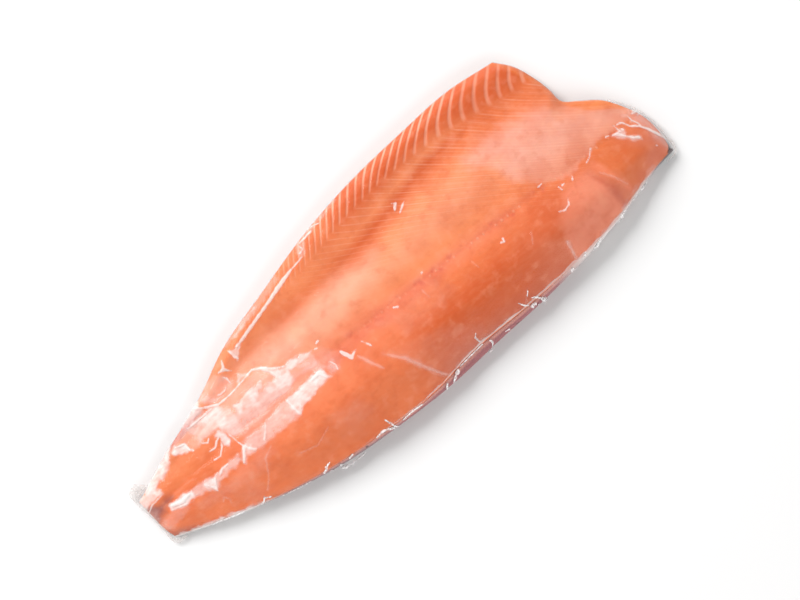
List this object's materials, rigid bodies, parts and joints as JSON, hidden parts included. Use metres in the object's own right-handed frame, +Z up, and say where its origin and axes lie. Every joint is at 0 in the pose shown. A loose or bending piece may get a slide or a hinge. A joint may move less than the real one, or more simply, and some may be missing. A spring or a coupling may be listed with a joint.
{
  "type": "vacuum-packed trout fillet",
  "caption": "Large skin-on trout side lying flesh side up, sealed tight in clear film that is gathered into thin flaps at the tail and head ends.",
  "frame": {"origin": "centre of the bounding box in plan, at the flat underside that the pack rests on", "axes": "+X from the tail end to the head end, +Y from the back to the belly, +Z up through the thickness"},
  "size_m": [0.402, 0.1459, 0.0284],
  "materials": {
    "flesh": "moist orange-pink fish flesh with pale fat lines, seen through tight clear film",
    "skin": "dark grey-purple fish skin, scaled, seen through tight clear film",
    "film": "thin clear shrink film, glossy and creased"
  },
  "bodies": {
    "root": {"flesh": "flesh", "skin": "skin", "film_tail_end": "film", "film_head_end": "film"}
  },
  "joints": []
}
